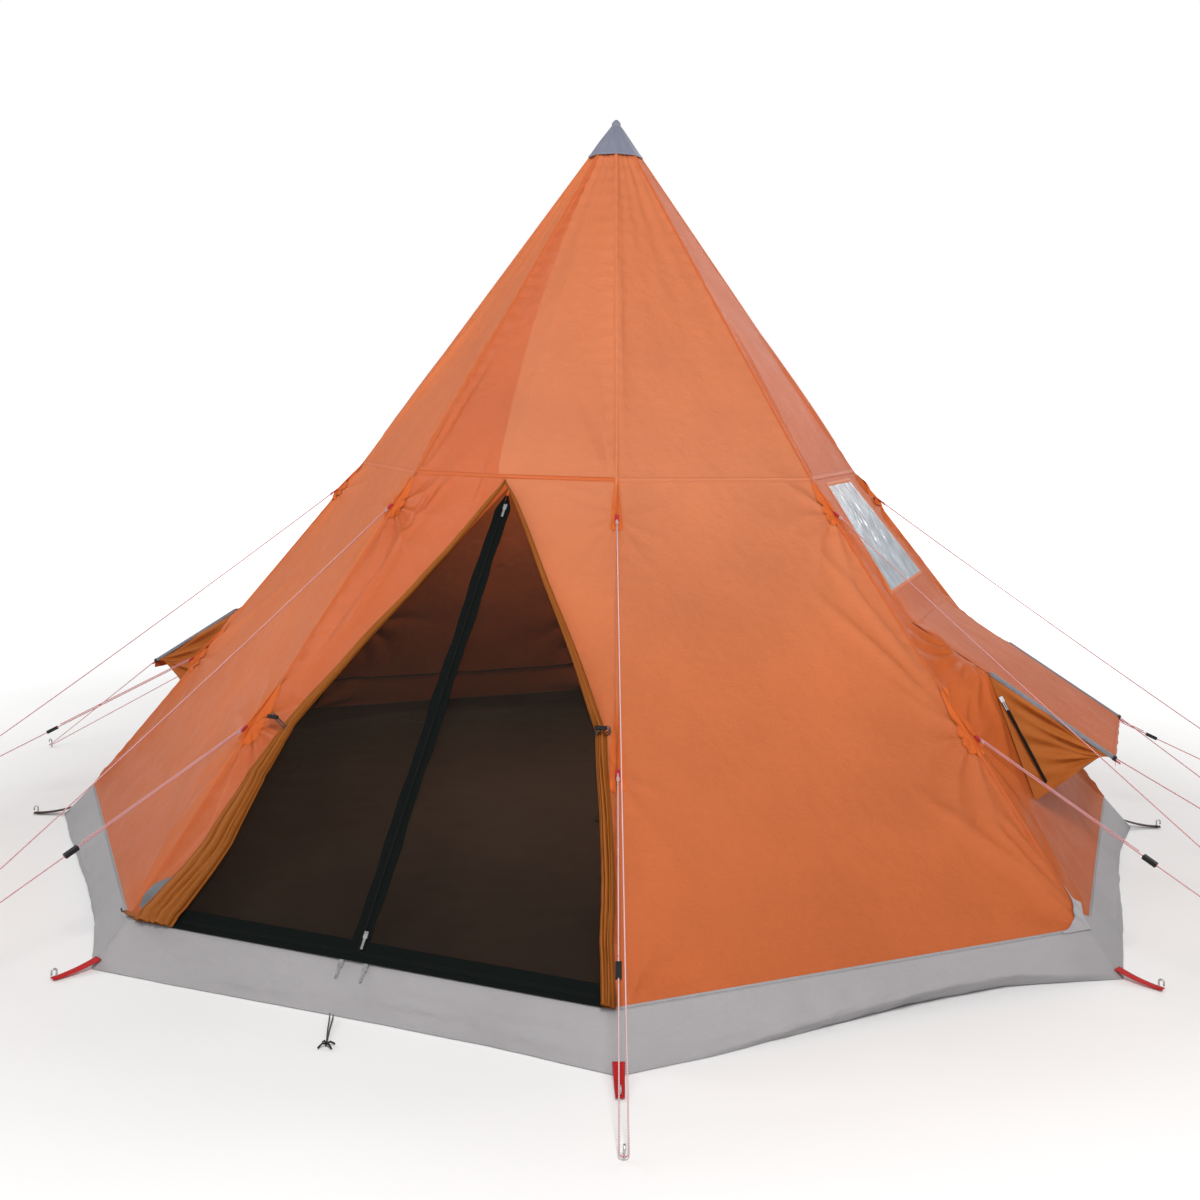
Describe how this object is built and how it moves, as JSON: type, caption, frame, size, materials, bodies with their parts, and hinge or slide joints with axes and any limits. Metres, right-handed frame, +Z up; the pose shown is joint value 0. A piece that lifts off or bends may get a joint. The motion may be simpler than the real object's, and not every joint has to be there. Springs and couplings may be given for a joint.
{
  "type": "teepee tent",
  "caption": "Eight-sided pyramid tent with one centre pole, a groundsheet tub, an insect-mesh door, side vent hoods, a clear window and guy lines.",
  "frame": {"origin": "on the ground at the centre of the groundsheet, under the pole", "axes": "+Z up along the pole, -Y out of the door, +X to the right of someone facing the door from outside"},
  "size_m": [5.234, 4.6051, 2.594],
  "materials": {
    "canopy_orange": "satin coated polyester",
    "tub_grey": "matt coated polyethylene cloth",
    "cap_slate": "satin coated polyester",
    "pole_steel": "satin",
    "foot_rubber": "matt",
    "door_mesh": "fine insect net",
    "zip_metal": "satin",
    "black_plastic": "moulded",
    "window_film": "clear flexible film",
    "guy_cord": "braided cord with light tracer",
    "peg_steel": "satin",
    "elastic_black": "braided elastic"
  },
  "bodies": {
    "tent": {"groundsheet_tub": "tub_grey", "wall_front": "canopy_orange", "wall_front_right": "canopy_orange", "wall_right": "canopy_orange", "wall_back": "canopy_orange", "wall_left": "canopy_orange", "wall_front_left": "canopy_orange", "door_flap_roll_left": "canopy_orange", "door_flap_roll_right": "canopy_orange", "vent_gusset_left": "canopy_orange", "vent_gusset_right": "canopy_orange", "window_pane": "window_film", "cone_cap": "cap_slate", "pole_section_1": "pole_steel", "pole_section_2": "pole_steel", "pole_section_3": "pole_steel", "pole_section_4": "pole_steel", "pole_foot": "foot_rubber", "door_mesh_border": "door_mesh", "door_toggle_left": "black_plastic", "door_toggle_right": "black_plastic", "guy_line_front_right": "guy_cord", "guy_line_right_front": "guy_cord", "guy_line_right_back": "guy_cord", "guy_line_back_right": "guy_cord", "guy_line_back_left": "guy_cord", "guy_line_left_back": "guy_cord", "guy_line_left_front": "guy_cord", "guy_line_front_left": "guy_cord", "vent_guy_line_right": "guy_cord", "vent_guy_line_left": "guy_cord", "guy_peg_front_right": "peg_steel", "guy_peg_right_front": "peg_steel", "guy_peg_right_back": "peg_steel", "guy_peg_back_right": "peg_steel", "guy_peg_back_left": "peg_steel", "guy_peg_left_back": "peg_steel", "guy_peg_left_front": "peg_steel", "guy_peg_front_left": "peg_steel", "vent_guy_peg_right": "peg_steel", "vent_guy_peg_left": "peg_steel", "front_tie": "elastic_black"},
    "door_leaf_left": {"door_mesh_left": "door_mesh"},
    "door_leaf_right": {"door_mesh_right": "door_mesh"},
    "door_zip_top": {"door_zip_slider_top": "zip_metal"},
    "door_zip_bottom": {"door_zip_slider_bottom": "zip_metal"},
    "hem_zip_left": {"hem_zip_slider_left": "zip_metal"},
    "hem_zip_right": {"hem_zip_slider_right": "zip_metal"},
    "vent_hood_right": {"vent_hood_right": "canopy_orange"},
    "vent_zip_right": {"vent_zip_slider_right": "zip_metal"},
    "vent_hood_left": {"vent_hood_left": "canopy_orange"},
    "vent_zip_left": {"vent_zip_slider_left": "zip_metal"},
    "tensioner_front_right": {"tensioner_front_right": "black_plastic"},
    "tensioner_right_front": {"tensioner_right_front": "black_plastic"},
    "tensioner_right_back": {"tensioner_right_back": "black_plastic"},
    "tensioner_back_right": {"tensioner_back_right": "black_plastic"},
    "tensioner_back_left": {"tensioner_back_left": "black_plastic"},
    "tensioner_left_back": {"tensioner_left_back": "black_plastic"},
    "tensioner_left_front": {"tensioner_left_front": "black_plastic"},
    "tensioner_front_left": {"tensioner_front_left": "black_plastic"}
  },
  "joints": [
    {"name": "door_leaf_left_swing", "type": "hinge", "parent": "tent", "child": "door_leaf_left", "pos_m": [-0.555, -1.72568, 0.13], "axis": [-0.3632, -0.5578, -0.7462], "range_deg": [0, 100]},
    {"name": "door_leaf_right_swing", "type": "hinge", "parent": "tent", "child": "door_leaf_right", "pos_m": [0.67, -1.72568, 0.13], "axis": [-0.4263, 0.5416, 0.7245], "range_deg": [0, 100]},
    {"name": "door_zip_top_slide", "type": "slide", "parent": "door_leaf_right", "child": "door_zip_top", "axis": [0, -0.5987, -0.8009], "range_m": [0, 0.62]},
    {"name": "door_zip_bottom_slide", "type": "slide", "parent": "door_leaf_right", "child": "door_zip_bottom", "axis": [0, 0.5987, 0.8009], "range_m": [0, 0.62]},
    {"name": "hem_zip_left_slide", "type": "slide", "parent": "tent", "child": "hem_zip_left", "axis": [-1, 0, 0], "range_m": [0, 0.46]},
    {"name": "hem_zip_right_slide", "type": "slide", "parent": "tent", "child": "hem_zip_right", "axis": [1, 0, 0], "range_m": [0, 0.56]},
    {"name": "vent_hood_right_fold", "type": "hinge", "parent": "tent", "child": "vent_hood_right", "pos_m": [1.16903, 0, 0.88], "axis": [0, 1, 0], "range_deg": [0, 20], "deforming": ["vent_gusset_right", "vent_guy_line_right"]},
    {"name": "vent_zip_right_slide", "type": "slide", "parent": "tent", "child": "vent_zip_right", "axis": [0.4908, 0, -0.8713], "range_m": [0, 0.26]},
    {"name": "vent_hood_left_fold", "type": "hinge", "parent": "tent", "child": "vent_hood_left", "pos_m": [-1.16903, 0, 0.88], "axis": [0, -1, 0], "range_deg": [0, 20], "deforming": ["vent_gusset_left", "vent_guy_line_left"]},
    {"name": "vent_zip_left_slide", "type": "slide", "parent": "tent", "child": "vent_zip_left", "axis": [-0.4908, 0, -0.8713], "range_m": [0, 0.26]},
    {"name": "tensioner_front_right_slide", "type": "slide", "parent": "tent", "child": "tensioner_front_right", "axis": [0.304, -0.7603, -0.5741], "range_m": [-0.4, 0.25]},
    {"name": "tensioner_right_front_slide", "type": "slide", "parent": "tent", "child": "tensioner_right_front", "axis": [0.8383, -0.3551, -0.4137], "range_m": [-0.4, 0.25]},
    {"name": "tensioner_right_back_slide", "type": "slide", "parent": "tent", "child": "tensioner_right_back", "axis": [0.8461, 0.3427, -0.4083], "range_m": [-0.4, 0.25]},
    {"name": "tensioner_back_right_slide", "type": "slide", "parent": "tent", "child": "tensioner_back_right", "axis": [0.3105, 0.7211, -0.6193], "range_m": [-0.4, 0.25]},
    {"name": "tensioner_back_left_slide", "type": "slide", "parent": "tent", "child": "tensioner_back_left", "axis": [-0.2904, 0.7295, -0.6193], "range_m": [-0.4, 0.25]},
    {"name": "tensioner_left_back_slide", "type": "slide", "parent": "tent", "child": "tensioner_left_back", "axis": [-0.7211, 0.3105, -0.6193], "range_m": [-0.4, 0.25]},
    {"name": "tensioner_left_front_slide", "type": "slide", "parent": "tent", "child": "tensioner_left_front", "axis": [-0.8192, -0.3304, -0.4689], "range_m": [-0.4, 0.25]},
    {"name": "tensioner_front_left_slide", "type": "slide", "parent": "tent", "child": "tensioner_front_left", "axis": [-0.3514, -0.8282, -0.4367], "range_m": [-0.4, 0.25]}
  ]
}
